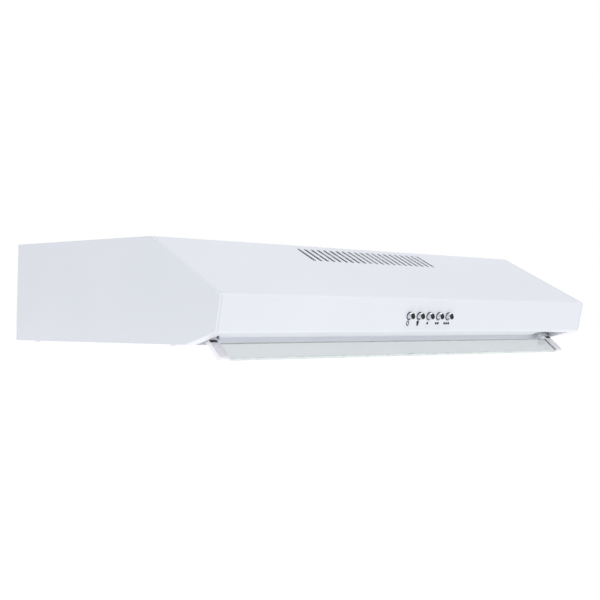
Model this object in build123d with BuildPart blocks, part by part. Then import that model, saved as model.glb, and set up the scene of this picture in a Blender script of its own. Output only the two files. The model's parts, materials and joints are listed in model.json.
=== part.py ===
from build123d import *
import os
from math import acos, atan2, cos, degrees, hypot, radians, sin

# An under cabinet range hood, 600 mm wide, hung below a wall cabinet.
# Origin: middle of the top rear edge. +X to the right, +Y into the wall, +Z up.
# All sizes are in millimetres. Pairs such as (y, z) are points of the side view.

# Casing: overall sizes and the side view's folds
width = 600.0
depth = 490.0             # wall to the front fold
wall_height = 131.0       # top to underside at the wall
top_depth = 354.0         # flat top, wall to the upper fold
nose_top = 61.5           # drop from the top to the front fold
nose_height = 38.0        # drop from the front fold to the foot of the nose
nose_lean = 7.5           # how far the foot of the nose stands back
low_run = 55.5            # visor face, along the ground
low_drop = 15.5           # visor face, its drop towards the wall
sheet = 1.0               # painted steel sheet
fold_radius = 3.0         # outside radius of the soft folds
edge_radius = 0.9         # rounding along a side panel's edge
lip_width = 2.4           # folded edge of a side panel, seen from the front
seam_gap = 0.3            # fine gap between a side panel and the wrap
body_gap = 0.3            # clearance between parts of different bodies
slip = 0.05               # running clearance of pins and shafts, radial

# Louvre in the sloping front
slot_count = 21
slot_pitch = 10.16
slot_length = 37.0
slot_width = 4.6
slot_from_fold = 10.0

# Visor and its recess
recess_side = 13.0        # visor face left at each side of the recess
flange_reach = recess_side - sheet   # side panels' inner flanges end at the tray
recess_front = 8.0        # visor face left in front of the recess
recess_depth = 7.4
hinge_u = 42.8            # hinge axis, along the visor face from the foot of the nose
hinge_w = 3.6             # hinge axis, above the visor face
visor_swing = 53.0        # degrees from open down to flush
arm_width = 12.4
arm_thickness = 5.6
arm_reach = 34.0
arm_outset = 16.2         # casing side to the arm's outer face
arm_boss_radius = 3.4
glass_thickness = 4.0
glass_reach = 33.7        # hinge axis to the front edge of the glass
glass_start = 9.2         # hinge axis to the rear edge of the glass
glass_grip = 4.0          # how deep the glass sits in an arm
pivot_radius = 1.5
bracket_sheet = 1.6
bracket_length = 10.0
bracket_rise = 9.6        # visor face to the bracket's bridge
bracket_foot = 12.0
bracket_gap = 0.6         # arm to bracket ear

# Push buttons on the nose
button_count = 5
button_pitch = 16.4
button_down = 20.3        # front fold to the buttons' row, along the nose
button_radius = 4.0
button_stand = 6.0        # how far a button stands out of the nose
button_cap = 0.8
button_travel = 3.5
button_length = 24.0
button_hole = 4.9         # radius of the hole in the nose
stem_side = 3.6
stem_length = 14.0
stem_gap = 0.3
guide_back = 4.0          # nose skin to the black guide plate
guide_thickness = 3.0
guide_margin = 10.0
switch_depth = 26.0
switch_height = 18.0
spring_wire = 0.5
spring_turns = 5
terminal_tag = (0.8, 5.0)   # blade terminal on the switch, across and up
tag_length = 6.0

# Fan
fan_from_wall = 262.0
fan_reach = 110.0         # fan axis to the side of the duct bore that it blows past
fan_top = 12.0            # casing top to the lid of the fan
fan_height = 80.0
plastic = 2.0
scroll_start = 85.0       # fan axis to the tongue of the scroll
scroll_radii = (90.0, 99.0, 108.0)
channel_room = 7.0        # duct bore to the sides and the end of the fan's outlet channel
impeller_radius = 75.0
impeller_eye = 62.0
impeller_height = 62.0
impeller_below_lid = 6.0
impeller_disc = 1.6
blade_count = 36
blade_thickness = 1.2
hub_radius = 12.0
hub_length = 16.0
shaft_radius = 4.0
motor_radius = 40.0
motor_height = 54.0
spider_arm_width = 14.0
spider_reach = 84.0
spider_disc = 34.0
grille_height = 4.0
grille_bar = 2.4
grille_rings = 4
lid_rib = 50.0            # ribs on the fan's lid
lid_rib_height = 3.0
lid_post = 5.0
screw_radius = 1.5
screw_head = 3.4
screw_head_height = 1.8
screw_length = 7.0
flush_head = 0.8          # low head of the screws that show on the underside
screw_clearance = 0.2

# Duct outlet
duct_from_wall = 112.0
duct_radius = 58.0        # bore that the duct adapter plugs into
duct_wall = 2.5
duct_flange = 11.0
duct_rim = 2.5            # how far the ring stands above the top
duct_depth = 26.5         # from the rim's face to the shoulder
shoulder = 0.8
flap_room = 10.0
ledge = 3.0
flap_pin_radius = 1.0
flap_pin_offset = 3.2
flap_barrel = 2.2
flap_sheet = 1.0

# Fixing holes
fixing_radius = 2.75
fixing_spacing_x = 460.0
fixing_spacing_y = 190.0
fixing_from_wall = 60.0
wall_slot_spacing = 400.0
wall_slot_length = 20.0
wall_slot_radius = 3.0
wall_slot_drop = 40.0

# Mains inlet and electrical parts
gland_x = 200.0
gland_from_wall = 40.0
gland_bore = 4.0
gland_radius = 7.0
gland_flange = 10.5
box_length = 96.0
box_depth = 52.0
box_height = 40.0
box_x = 178.0
box_from_wall = 8.0
capacitor_radius = 15.0
capacitor_gap = 8.0       # terminal box to the capacitor
strip_pitch = 10.0        # three terminals in a row
strip_width = 18.0
strip_height = 14.0
terminal_bore = 2.2
gland_rim = 1.5
gland_length = 16.0
capacitor_length = 52.0
loom_radius = 3.0
loom_bend = 24.0          # bend radius of the wires
loom_outset = 56.0        # how far to the side of the switch they run

# Lamp
lens_length = 160.0
lens_depth = 44.0
lens_from_corner = 9.0    # underside's front corner to the lens
lens_thickness = 2.5
lens_lip = 4.0
reflector_sheet = 0.8
reflector_waist = 30.0    # where its walls turn in
reflector_height = 47.0
holder_gap = 1.0          # reflector's end to the lamp holder
bulb_radius = 17.5
bulb_length = 78.0
bulb_height = 27.0        # underside to the bulb's axis
holder_radius = 15.0
holder_length = 30.0

# Grease filters
filter_front = 66.0       # underside's front corner to the filter openings
filter_rear = 20.0        # wall to the filter openings
filter_side = 26.0        # casing side to an opening
filter_bar = 22.0         # bar between the two openings
filter_gap = 1.5
filter_height = 9.0
filter_rim = 9.0
filter_skin = 1.0
channel_height = 7.0       # inside the folded rim
mesh_thickness = 1.2
tab_width = 24.0
tab_grip = 5.0
tab_thickness = 1.2
latch_width = 44.0
latch_depth = 16.0
latch_travel = 6.0
latch_wall = 6.0          # rim left round the latch
latch_bar = 3.0           # ridge that a finger pulls the latch by
latch_inset = 0.5

os.makedirs("parts", exist_ok=True)


def save(piece, label):
    piece.part.label = label
    export_step(piece.part, f"parts/{label}.step")


# Side view: the folds of the casing, from the wall over the top and round the nose
top_rear = (0, 0)
top_fold = (-top_depth, 0)
front_fold = (-depth, -nose_top)
nose_foot = (nose_lean - depth, -nose_top - nose_height)
low_corner = (nose_foot[0] + low_run, nose_foot[1] - low_drop)
wall_foot = (0, -wall_height)
folds = [top_rear, top_fold, front_fold, nose_foot, low_corner]
fold_radii = [fold_radius + 2.0, fold_radius, fold_radius]
half = width / 2

# Planes of the sloping front, the visor face and the underside; each one's local
# x runs to the right and its local y runs up the slope or towards the wall
slope_run = depth - top_depth
slope_length = hypot(slope_run, nose_top)
slope_plane = Plane(
    origin=(0, *top_fold),
    x_dir=(1, 0, 0),
    z_dir=(0, -nose_top / slope_length, slope_run / slope_length),
)
low_length = hypot(low_run, low_drop)
low_plane = Plane(
    origin=(0, *nose_foot),
    x_dir=(1, 0, 0),
    z_dir=(0, low_drop / low_length, low_run / low_length),
)
under_run = -low_corner[0]
under_drop = wall_height + low_corner[1]
under_length = hypot(under_run, under_drop)
under_plane = Plane(
    origin=(0, *low_corner),
    x_dir=(1, 0, 0),
    z_dir=(0, under_drop / under_length, under_run / under_length),
)
lean = atan2(nose_lean, nose_height)


def side_face(inset=0.0):
    """The whole side view as a face, drawn inset by a distance."""
    with BuildSketch(mode=Mode.PRIVATE) as face:
        with BuildLine():
            FilletPolyline(*folds, radius=fold_radii)
            Polyline(low_corner, wall_foot, top_rear)
        make_face()
        if inset:
            offset(amount=-inset, kind=Kind.INTERSECTION)
    return face.sketch


def side_strip(first, last):
    """The band between two insets, along the folds only."""
    outer = side_face(first)
    inner = side_face(last)
    with BuildSketch(mode=Mode.PRIVATE) as band:
        add(outer)
        add(inner, mode=Mode.SUBTRACT)
        with BuildLine():
            Polyline(
                (low_corner[0], -wall_height - sheet),
                (low_corner[0], -wall_height / 2),
                (-2 * last, -wall_height / 2),
                (-2 * last, -last),
                (sheet, -last),
                (sheet, -wall_height - sheet),
                (low_corner[0], -wall_height - sheet),
            )
        make_face(mode=Mode.SUBTRACT)
    return band.sketch


# ---------------------------------------------------------------- casing

wrap_half = half - lip_width - seam_gap

with BuildPart() as canopy_wrap:
    # One sheet runs from the wall over the top, down the front and under the nose
    with BuildSketch(Plane.YZ):
        with BuildLine():
            FilletPolyline(*folds, radius=fold_radii)
            offset(amount=sheet, side=Side.LEFT)
        make_face()
    extrude(amount=wrap_half, both=True)
    # Louvre
    with BuildSketch(slope_plane):
        with Locations((0, -slot_from_fold - slot_length / 2)):
            with GridLocations(slot_pitch, 0, slot_count, 1):
                SlotOverall(slot_length, slot_width, rotation=90)
    extrude(amount=-2 * sheet, mode=Mode.SUBTRACT)
    # Holes of the push buttons
    with BuildSketch(Plane.XZ.offset(depth)):
        with Locations((0, -nose_top - button_down * cos(lean))):
            with GridLocations(button_pitch, 0, button_count, 1):
                Circle(button_hole)
    extrude(amount=-4 * sheet - nose_lean, mode=Mode.SUBTRACT)
    # Visor recess, open at its rear
    with BuildSketch(low_plane):
        with Locations((0, recess_front)):
            Rectangle(width - 2 * recess_side, low_length, align=(Align.CENTER, Align.MIN))
    extrude(amount=2 * sheet, both=True, mode=Mode.SUBTRACT)
    # Duct outlet, mains gland and cabinet fixing holes in the top
    with BuildSketch():
        with Locations((0, -duct_from_wall)):
            Circle(duct_radius + duct_wall + body_gap)
        with Locations((gland_x, -gland_from_wall)):
            Circle(gland_radius)
        with Locations((0, -fixing_from_wall - fixing_spacing_y / 2)):
            with GridLocations(fixing_spacing_x, fixing_spacing_y, 2, 2):
                Circle(fixing_radius)
    extrude(amount=-2 * sheet, mode=Mode.SUBTRACT)
save(canopy_wrap, "canopy_wrap")

under_inside = half - sheet - seam_gap
screw_x = half - sheet - flange_reach / 2
screw_rows = (filter_front / 2, under_length - filter_rear - 3 * flange_reach)

outer_face = side_face()
lip_band = side_strip(0, sheet)
flange_band = side_strip(sheet, 2 * sheet)

with BuildPart() as right_side_panel:
    # Plate, its outer edge rounded
    with BuildSketch(Plane.YZ.offset(half - sheet)):
        add(outer_face)
    extrude(amount=sheet)
    fillet(faces().sort_by(Axis.X)[-1].edges(), radius=edge_radius)
    # Folded edge, seen from the front as a narrow bright band
    with BuildSketch(Plane.YZ.offset(half - lip_width)):
        add(lip_band)
    extrude(amount=lip_width - sheet)
    # Inner flange under the wrap
    with BuildSketch(Plane.YZ.offset(half - flange_reach)):
        add(flange_band)
    extrude(amount=flange_reach - sheet)
    # Bottom flange for the underside frame
    with BuildSketch(under_plane.offset(sheet)):
        with Locations((half - sheet, flange_reach)):
            Rectangle(flange_reach, under_length - 3 * flange_reach, align=(Align.MAX, Align.MIN))
        for row in screw_rows:
            with Locations((screw_x, row)):
                Circle(screw_radius + screw_clearance, mode=Mode.SUBTRACT)
    extrude(amount=sheet)
save(right_side_panel, "right_side_panel")

with BuildPart() as left_side_panel:
    mirror(right_side_panel.part, about=Plane.YZ)
save(left_side_panel, "left_side_panel")

with BuildPart() as back_panel:
    with BuildSketch(Plane.XZ):
        Polygon((-under_inside, -sheet), (under_inside, -sheet), (under_inside, -wall_height),
                (-under_inside, -wall_height), align=None)
        with Locations((0, -wall_slot_drop)):
            with GridLocations(wall_slot_spacing, 0, 2, 1):
                SlotOverall(wall_slot_length, 2 * wall_slot_radius, mode=Mode.SUBTRACT)
    extrude(amount=sheet)
    # Side flanges, riveted to the side panels
    with BuildSketch(Plane.XZ.offset(sheet)):
        with Locations((0, -wall_height / 2)):
            with GridLocations(2 * under_inside - sheet, 0, 2, 1):
                Rectangle(sheet, wall_height - 3 * flange_reach)
    extrude(amount=flange_reach)
    # Stiffening rib across the middle
    with BuildSketch(Plane.XZ.offset(sheet)):
        with Locations((0, -wall_height * 0.72)):
            SlotOverall(width * 0.62, 12)
            SlotOverall(width * 0.62 - 2 * sheet, 12 - 2 * sheet, mode=Mode.SUBTRACT)
    extrude(amount=1.5 * sheet)
save(back_panel, "back_panel")

recess_half = half - recess_side
slot_front = hinge_u - 16.0
slot_rear = low_length - 0.6
arm_outer = half - arm_outset
arm_inner = arm_outer - arm_width
ear_in = arm_inner - bracket_gap - bracket_sheet
ear_out = arm_outer + bracket_gap + bracket_sheet

with BuildPart() as visor_tray:
    # Ceiling of the recess
    with BuildSketch(low_plane.offset(recess_depth)):
        with Locations((0, recess_front - sheet)):
            Rectangle(2 * recess_half + 2 * sheet, low_length - recess_front + 2 * sheet,
                      align=(Align.CENTER, Align.MIN))
        # Slots that the visor's brackets come down through
        for side in (-1, 1):
            with Locations((side * (ear_in + ear_out) / 2, (slot_front + slot_rear) / 2)):
                Rectangle(ear_out - ear_in + 2 * body_gap, slot_rear - slot_front, mode=Mode.SUBTRACT)
    extrude(amount=sheet)
    # Front and end walls
    with BuildSketch(low_plane.offset(sheet)):
        with Locations((0, recess_front)):
            Rectangle(2 * recess_half + 2 * sheet, sheet, align=(Align.CENTER, Align.MAX))
        with Locations((-recess_half, recess_front)):
            Rectangle(sheet, low_length - recess_front, align=(Align.MAX, Align.MIN))
        with Locations((recess_half, recess_front)):
            Rectangle(sheet, low_length - recess_front, align=(Align.MIN, Align.MIN))
    extrude(amount=recess_depth - sheet)
    # Flange that lies on the wrap
    with BuildSketch(low_plane.offset(sheet)):
        with Locations((0, recess_front - sheet)):
            Rectangle(2 * recess_half, recess_front - sheet - fold_radius, align=(Align.CENTER, Align.MAX))
    extrude(amount=sheet)
save(visor_tray, "visor_tray")

opening_front = filter_front
opening_rear = under_length - filter_rear
opening_width = half - filter_side - filter_bar / 2
opening_length = opening_rear - opening_front
opening_x = filter_bar / 2 + opening_width / 2

with BuildPart() as bottom_frame:
    # Sheet of the underside, turned up at the recess and at the wall
    foot_of_back = under_plane.from_local_coords((0, under_length - sheet - seam_gap, 0))
    lip_top = low_plane.from_local_coords((0, low_length, recess_depth))
    with BuildSketch(Plane.YZ):
        with BuildLine():
            Polyline(
                (lip_top.Y, lip_top.Z),
                low_corner,
                (foot_of_back.Y, foot_of_back.Z),
                (foot_of_back.Y, foot_of_back.Z + flange_reach),
            )
            offset(amount=sheet, side=Side.LEFT)
        make_face()
    extrude(amount=recess_half, both=True)
    # The sheet reaches the side panels behind the recess
    with BuildSketch(under_plane):
        with Locations((0, sheet)):
            Rectangle(2 * under_inside, under_length - 2 * sheet - seam_gap, align=(Align.CENTER, Align.MIN))
    extrude(amount=sheet)
    with BuildSketch(under_plane):
        with Locations((0, (opening_front + opening_rear) / 2)):
            with GridLocations(2 * opening_x, 0, 2, 1):
                Rectangle(opening_width, opening_length)
        with Locations((0, lens_from_corner + lens_depth / 2)):
            Rectangle(lens_length, lens_depth)
        for row in screw_rows:
            with Locations((0, row)):
                with GridLocations(2 * screw_x, 0, 2, 1):
                    Circle(screw_radius + screw_clearance)
    extrude(amount=2 * sheet, mode=Mode.SUBTRACT)
save(bottom_frame, "bottom_frame")


# ---------------------------------------------------------------- visor

# The hinge axis; local x of visor_plane is the way the open visor points
hinge = low_plane.from_local_coords((0, hinge_u, hinge_w))
open_angle = radians(180 - degrees(atan2(low_drop, low_run)) + visor_swing)
visor_plane = Plane(
    origin=(0, hinge.Y, hinge.Z),
    x_dir=(0, cos(open_angle), sin(open_angle)),
    z_dir=(1, 0, 0),
)

with BuildPart() as right_visor_arm:
    # Boss on the pivot pin and the arm itself
    with BuildSketch(visor_plane.offset(arm_inner)):
        Circle(arm_boss_radius)
        RectangleRounded(2 * arm_reach, arm_thickness, arm_thickness * 0.42)
        Rectangle(2 * arm_reach, 2 * arm_boss_radius, align=(Align.MAX, Align.CENTER), mode=Mode.SUBTRACT)
        Circle(arm_boss_radius)
        Circle(pivot_radius + slip, mode=Mode.SUBTRACT)
    extrude(amount=arm_width)
    # Groove for the glass
    with BuildSketch(visor_plane.offset(arm_inner)):
        with Locations((glass_start, 0)):
            Rectangle(glass_reach - glass_start, glass_thickness, align=(Align.MIN, Align.CENTER))
    extrude(amount=glass_grip, mode=Mode.SUBTRACT)
save(right_visor_arm, "right_visor_arm")

with BuildPart() as left_visor_arm:
    mirror(right_visor_arm.part, about=Plane.YZ)
save(left_visor_arm, "left_visor_arm")

with BuildPart() as visor_glass:
    with BuildSketch(visor_plane):
        with Locations((glass_start, 0)):
            Rectangle(glass_reach - glass_start, glass_thickness, align=(Align.MIN, Align.CENTER))
    extrude(amount=arm_inner + glass_grip, both=True)
save(visor_glass, "visor_glass")

with BuildPart() as visor_pivot_pins:
    for inner_end in (ear_in, -ear_out):
        with BuildSketch(visor_plane.offset(inner_end)):
            Circle(pivot_radius)
        extrude(amount=ear_out - ear_in)
save(visor_pivot_pins, "visor_pivot_pins")

with BuildPart() as right_pivot_bracket:
    # A stamped bridge on the tray, with an ear each side of the arm, drawn across the arm
    across = Plane(
        origin=low_plane.from_local_coords((0, hinge_u + bracket_length / 2, 0)),
        x_dir=(1, 0, 0),
        z_dir=-low_plane.y_dir,
    )
    ear_foot = hinge_w - arm_boss_radius
    with BuildSketch(across):
        for ear_x in (ear_in, ear_out - bracket_sheet):
            with Locations((ear_x, ear_foot)):
                Rectangle(bracket_sheet, bracket_rise - ear_foot, align=(Align.MIN, Align.MIN))
        with Locations((ear_in, bracket_rise)):
            Rectangle(ear_out - ear_in, bracket_sheet, align=(Align.MIN, Align.MIN))
        with Locations((ear_in, recess_depth + sheet)):
            Rectangle(bracket_foot, bracket_sheet, align=(Align.MAX, Align.MIN))
    extrude(amount=bracket_length)
    ear_ends = edges().filter_by(Axis.X).group_by(Axis((0, 0, 0), low_plane.z_dir))[0]
    fillet(ear_ends, radius=arm_boss_radius * 0.9)
    with BuildSketch(visor_plane.offset(ear_in)):
        Circle(pivot_radius)
    extrude(amount=ear_out - ear_in, mode=Mode.SUBTRACT)
save(right_pivot_bracket, "right_pivot_bracket")

with BuildPart() as left_pivot_bracket:
    mirror(right_pivot_bracket.part, about=Plane.YZ)
save(left_pivot_bracket, "left_pivot_bracket")


# ---------------------------------------------------------------- push buttons

# Distances from the wall to the parts of the switch, and the height of the row
button_z = -nose_top - button_down * cos(lean)
nose_skin = depth - button_down * sin(lean)
cap_back = nose_skin + button_stand - button_cap
button_back = cap_back - button_length
switch_front = button_back - stem_length * 0.64
stem_back = button_back - stem_length
guide_front = nose_skin - guide_back
switch_half = (button_count - 1) * button_pitch / 2 + guide_margin
button_names = ["button_off", "button_light", "button_speed_1", "button_speed_2", "button_speed_3"]

for number, name in enumerate(button_names):
    button_x = (number - (button_count - 1) / 2) * button_pitch
    with BuildPart() as button:
        with BuildSketch(Plane.XZ.offset(button_back)):
            with Locations((button_x, button_z)):
                Circle(button_radius)
        extrude(amount=button_length)
        with BuildSketch(Plane.XZ.offset(stem_back)):
            with Locations((button_x, button_z)):
                Rectangle(stem_side, stem_side)
        extrude(amount=stem_length)
    save(button, name)

    with BuildPart() as cap:
        with BuildSketch(Plane.XZ.offset(cap_back)):
            with Locations((button_x, button_z)):
                Circle(button_radius)
        extrude(amount=button_cap)
        fillet(edges().sort_by(Axis.Y)[0], radius=button_cap / 2)
    save(cap, name.replace("button", "cap"))

    with BuildPart() as spring:
        with BuildLine() as coil:
            Helix(
                pitch=(button_back - switch_front - spring_wire - slip) / spring_turns,
                height=button_back - switch_front - spring_wire - slip,
                radius=button_radius - spring_wire,
                center=(button_x, -switch_front - (spring_wire + slip) / 2, button_z),
                direction=(0, -1, 0),
            )
        with BuildSketch(Plane(origin=coil.line @ 0, z_dir=coil.line % 0)):
            Circle(spring_wire / 2)
        sweep(is_frenet=True)
    save(spring, name.replace("button", "spring"))

with BuildPart() as button_guide:
    # Black plate behind the nose, seen round each button
    with BuildSketch(Plane.XZ.offset(guide_front - guide_thickness)):
        with Locations((0, button_z)):
            Rectangle(2 * switch_half, switch_height)
            with GridLocations(button_pitch, 0, button_count, 1):
                Circle(button_radius + body_gap, mode=Mode.SUBTRACT)
    extrude(amount=guide_thickness)
save(button_guide, "button_guide")

with BuildPart() as switch_block:
    with BuildSketch(Plane.XZ.offset(switch_front - switch_depth)):
        with Locations((0, button_z)):
            Rectangle(2 * switch_half, switch_height)
    extrude(amount=switch_depth)
    # Wells for the stems
    with BuildSketch(Plane.XZ.offset(stem_back - button_travel - stem_gap)):
        with Locations((0, button_z)):
            with GridLocations(button_pitch, 0, button_count, 1):
                Rectangle(stem_side + 2 * stem_gap, stem_side + 2 * stem_gap)
    extrude(amount=switch_depth, mode=Mode.SUBTRACT)
    # Terminals at the back
    with BuildSketch(Plane.XZ.offset(switch_front - switch_depth)):
        with Locations((0, button_z)):
            with GridLocations(button_pitch, switch_height / 2, button_count, 2):
                Rectangle(*terminal_tag)
    extrude(amount=-tag_length)
save(switch_block, "switch_block")

with BuildPart() as switch_bracket:
    # Cheeks on both sides of the switch, standing on the tray
    foot_front = low_plane.from_local_coords((0, recess_front - sheet, recess_depth + sheet))
    foot_back = low_plane.from_local_coords((0, low_length, recess_depth + sheet))
    for cheek_x in (switch_half, -switch_half - sheet):
        with BuildSketch(Plane.YZ.offset(cheek_x)):
            with BuildLine():
                Polyline(
                    (-guide_front, button_z + switch_height / 2),
                    (foot_back.Y, button_z + switch_height / 2),
                    (foot_back.Y, foot_back.Z),
                    (foot_front.Y, foot_front.Z),
                    (-guide_front, button_z - switch_height / 2),
                    close=True,
                )
            make_face()
        extrude(amount=sheet)
    with BuildSketch(low_plane.offset(recess_depth + sheet)):
        for foot_x, align_x in ((switch_half, Align.MIN), (-switch_half, Align.MAX)):
            with Locations((foot_x, recess_front)):
                Rectangle(flange_reach, low_length - recess_front, align=(align_x, Align.MIN))
    extrude(amount=sheet)
    # Bridge over the switch
    with BuildSketch(Plane.XY.offset(button_z + switch_height / 2)):
        with Locations((0, -switch_front)):
            Rectangle(2 * switch_half + 2 * sheet, switch_depth, align=(Align.CENTER, Align.MIN))
    extrude(amount=sheet)
save(switch_bracket, "switch_bracket")


# ---------------------------------------------------------------- fan

lid_under = -fan_top - plastic
floor_under = lid_under - fan_height
spider_under = floor_under - plastic
grille_under = spider_under - grille_height
channel_half = duct_radius + channel_room
channel_end = duct_from_wall - channel_half - plastic
fan_x = duct_radius - fan_reach
fan_axis = (fan_x, -fan_from_wall)
mount_radius = (impeller_eye + spider_reach) / 2
ring_step = impeller_eye / (grille_rings + 0.4)
fan_screw_length = grille_height + 2 * plastic + 1.5
tongue_angle = degrees(acos((-channel_half - fan_x) / scroll_start))
scroll_turn = (360 - tongue_angle) / len(scroll_radii)

with BuildSketch() as scroll_plan:
    # The scroll opens out from its tongue, in three arcs, to the straight outlet channel
    with BuildLine():
        ray = Vector(cos(radians(tongue_angle)), sin(radians(tongue_angle)))
        tongue = Vector(*fan_axis) + ray * scroll_start
        arc_1 = JernArc(tongue, (-ray.Y, ray.X), scroll_radii[0], scroll_turn)
        arc_2 = JernArc(arc_1 @ 1, arc_1 % 1, scroll_radii[1], scroll_turn)
        arc_3 = JernArc(arc_2 @ 1, arc_2 % 1, scroll_radii[2], scroll_turn)
        channel_side = (arc_3 @ 1).X
        Polyline(
            arc_3 @ 1,
            (channel_side, -channel_end),
            (-channel_half, -channel_end),
            tongue,
        )
    make_face()

with BuildPart() as fan_housing:
    with BuildSketch(Plane.XY.offset(floor_under)):
        add(scroll_plan.sketch)
        offset(amount=plastic)
    extrude(amount=fan_height)
    with BuildSketch(Plane.XY.offset(floor_under + plastic)):
        add(scroll_plan.sketch)
    extrude(amount=fan_height, mode=Mode.SUBTRACT)
    # Bell mouth of the inlet
    with BuildSketch(Plane.XY.offset(floor_under)):
        with Locations(fan_axis):
            Circle(impeller_eye + plastic)
    extrude(amount=3 * plastic)
    with BuildSketch(Plane.XY.offset(floor_under)):
        with Locations(fan_axis):
            Circle(impeller_eye)
            with PolarLocations(mount_radius, 3, start_angle=30):
                Circle(screw_radius)
    extrude(amount=3 * plastic, mode=Mode.SUBTRACT)
save(fan_housing, "fan_housing")

with BuildPart() as fan_lid:
    with BuildSketch(Plane.XY.offset(lid_under)):
        add(scroll_plan.sketch)
        offset(amount=plastic)
        with Locations((0, -duct_from_wall)):
            Circle(duct_radius + duct_wall, mode=Mode.SUBTRACT)
    extrude(amount=plastic)
    # Ribs and the posts that hold the fan to the casing's top
    with BuildSketch(Plane.XY.offset(lid_under + plastic)):
        with Locations(fan_axis):
            Circle(hub_radius * 2)
            Circle(hub_radius * 2 - plastic, mode=Mode.SUBTRACT)
            with PolarLocations(hub_radius * 2 - 1 + lid_rib / 2, 3, start_angle=150):
                Rectangle(lid_rib, plastic)
    extrude(amount=lid_rib_height)
    with BuildSketch(Plane.XY.offset(lid_under + plastic)):
        with Locations(fan_axis):
            with PolarLocations(impeller_radius - 2 * lid_post, 3, start_angle=150):
                Circle(lid_post)
    extrude(amount=fan_top - sheet)
save(fan_lid, "fan_lid")

with BuildPart() as motor_spider:
    with BuildSketch(Plane.XY.offset(spider_under)):
        with Locations(fan_axis):
            Circle(spider_disc)
            with PolarLocations(spider_reach / 2, 3, start_angle=30):
                Rectangle(spider_reach, spider_arm_width)
            with PolarLocations(mount_radius, 3, start_angle=30):
                Circle(screw_radius + screw_clearance, mode=Mode.SUBTRACT)
            Circle(hub_radius, mode=Mode.SUBTRACT)
    extrude(amount=plastic)
save(motor_spider, "motor_spider")

with BuildPart() as motor_body:
    with BuildSketch(Plane.XY.offset(floor_under)):
        with Locations(fan_axis):
            Circle(motor_radius)
    extrude(amount=motor_height)
    fillet(edges().filter_by(GeomType.CIRCLE).sort_by(Axis.Z)[-1], radius=4)
    # Boss of the upper bearing and the shaft's bore
    with BuildSketch(Plane.XY.offset(floor_under + motor_height)):
        with Locations(fan_axis):
            Circle(hub_radius)
    extrude(amount=plastic)
    with BuildSketch(Plane.XY.offset(floor_under + hub_length)):
        with Locations(fan_axis):
            Circle(shaft_radius + slip)
    extrude(amount=motor_height, mode=Mode.SUBTRACT)
save(motor_body, "motor_body")

disc_top = lid_under - impeller_below_lid
disc_under = disc_top - impeller_disc

with BuildPart() as motor_shaft:
    with BuildSketch(Plane.XY.offset(floor_under + hub_length + body_gap)):
        with Locations(fan_axis):
            Circle(shaft_radius)
    extrude(amount=disc_top - floor_under - hub_length)
save(motor_shaft, "motor_shaft")

blade_root = impeller_eye + blade_thickness
blade_tip = impeller_radius - blade_thickness
blade_arc = RadiusArc((blade_root, 0), (blade_tip, blade_thickness * 3), -blade_thickness * 10)

with BuildPart() as impeller:
    # Disc at the top, hub under it, a ring at the inlet and forward-curved blades between
    with BuildSketch(Plane.XY.offset(disc_under)):
        with Locations(fan_axis):
            Circle(impeller_radius)
    extrude(amount=impeller_disc)
    with BuildSketch(Plane.XY.offset(disc_top - hub_length)):
        with Locations(fan_axis):
            Circle(hub_radius)
    extrude(amount=hub_length)
    with BuildSketch(Plane.XY.offset(disc_top - impeller_height)):
        with Locations(fan_axis):
            Circle(impeller_radius)
            Circle(impeller_eye, mode=Mode.SUBTRACT)
    extrude(amount=impeller_disc)
    with BuildSketch(Plane.XY.offset(disc_top - impeller_height)):
        with Locations(fan_axis):
            with PolarLocations(0, blade_count):
                SlotArc(blade_arc, blade_thickness)
    extrude(amount=impeller_height - impeller_disc / 2)
    with BuildSketch(Plane.XY.offset(disc_top - 2 * hub_length)):
        with Locations(fan_axis):
            Circle(shaft_radius)
    extrude(amount=3 * hub_length, mode=Mode.SUBTRACT)
save(impeller, "impeller")

with BuildPart() as inlet_grille:
    with BuildSketch(Plane.XY.offset(grille_under)):
        with Locations(fan_axis):
            Circle(spider_reach)
            Circle(impeller_eye + plastic, mode=Mode.SUBTRACT)
            for ring in range(1, grille_rings + 1):
                Circle(ring_step * ring + grille_bar)
                Circle(ring_step * ring, mode=Mode.SUBTRACT)
            with PolarLocations((ring_step + impeller_eye + plastic) / 2, 6):
                Rectangle(impeller_eye + plastic - ring_step, grille_bar)
            with PolarLocations(mount_radius, 3, start_angle=30):
                Circle(screw_radius + screw_clearance, mode=Mode.SUBTRACT)
    extrude(amount=grille_height)
save(inlet_grille, "inlet_grille")

with BuildPart() as fan_screws:
    with BuildSketch(Plane.XY.offset(grille_under - screw_head_height)):
        with Locations(fan_axis):
            with PolarLocations(mount_radius, 3, start_angle=30):
                Circle(screw_head)
    extrude(amount=screw_head_height)
    fillet(edges().filter_by(GeomType.CIRCLE).group_by(Axis.Z)[0], radius=screw_head_height * 0.6)
    with BuildSketch(Plane.XY.offset(grille_under)):
        with Locations(fan_axis):
            with PolarLocations(mount_radius, 3, start_angle=30):
                Circle(screw_radius)
    extrude(amount=fan_screw_length)
save(fan_screws, "fan_screws")


# ---------------------------------------------------------------- duct outlet

duct_centre = (0, -duct_from_wall)
shoulder_z = duct_rim - duct_depth
flap_z = shoulder_z - flap_room + flap_sheet
pin_z = flap_z + flap_barrel
flap_reach = duct_radius - shoulder - 2 * body_gap

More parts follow.
